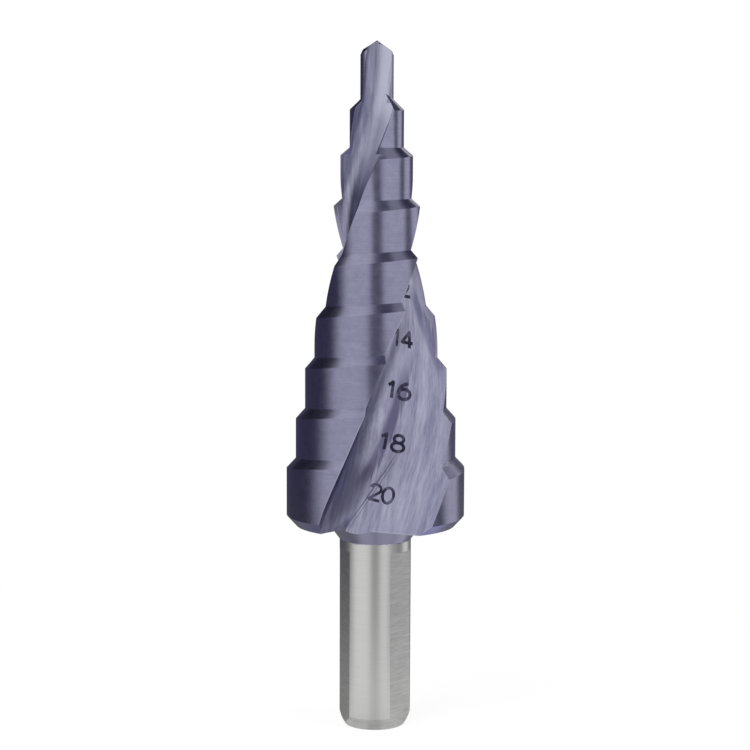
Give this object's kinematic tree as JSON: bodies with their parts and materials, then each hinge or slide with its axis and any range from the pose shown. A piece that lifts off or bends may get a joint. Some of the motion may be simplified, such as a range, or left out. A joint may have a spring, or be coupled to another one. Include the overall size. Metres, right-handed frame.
{
  "type": "step drill",
  "caption": "Spiral-flute step drill for sheet metal: a coated, stepped cutting cone with a drill point on a round shank with three chuck flats.",
  "frame": {"origin": "middle of the shank's flat end face", "axes": "+Z along the drill's axis towards the point, -Y towards the front as pictured"},
  "size_m": [0.0198, 0.0186, 0.0763],
  "materials": {
    "step_drill": "satin, violet-grey hard coating on the head, bare ground steel on the shank"
  },
  "bodies": {
    "root": {"step_drill": "step_drill"}
  },
  "joints": []
}
